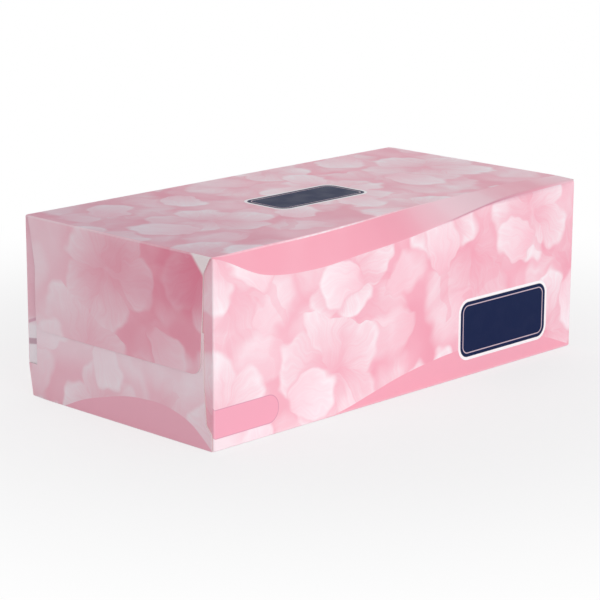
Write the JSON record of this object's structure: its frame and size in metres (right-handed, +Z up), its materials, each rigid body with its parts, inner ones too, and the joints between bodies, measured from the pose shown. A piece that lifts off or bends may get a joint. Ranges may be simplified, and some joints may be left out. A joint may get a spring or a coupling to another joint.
{
  "type": "tissue box",
  "caption": "Sealed flat paperboard carton of facial tissues, with a twisted facet along one long top edge and glued end flaps.",
  "frame": {"origin": "middle of the underside that the box rests on", "axes": "+X along the length towards the end away from the visible glued end, +Y from the front panel to the back panel, +Z up"},
  "size_m": [0.23, 0.115, 0.079],
  "materials": {
    "printed_board": "satin varnished print in soft pinks and white"
  },
  "bodies": {
    "root": {"carton": "printed_board"}
  },
  "joints": []
}
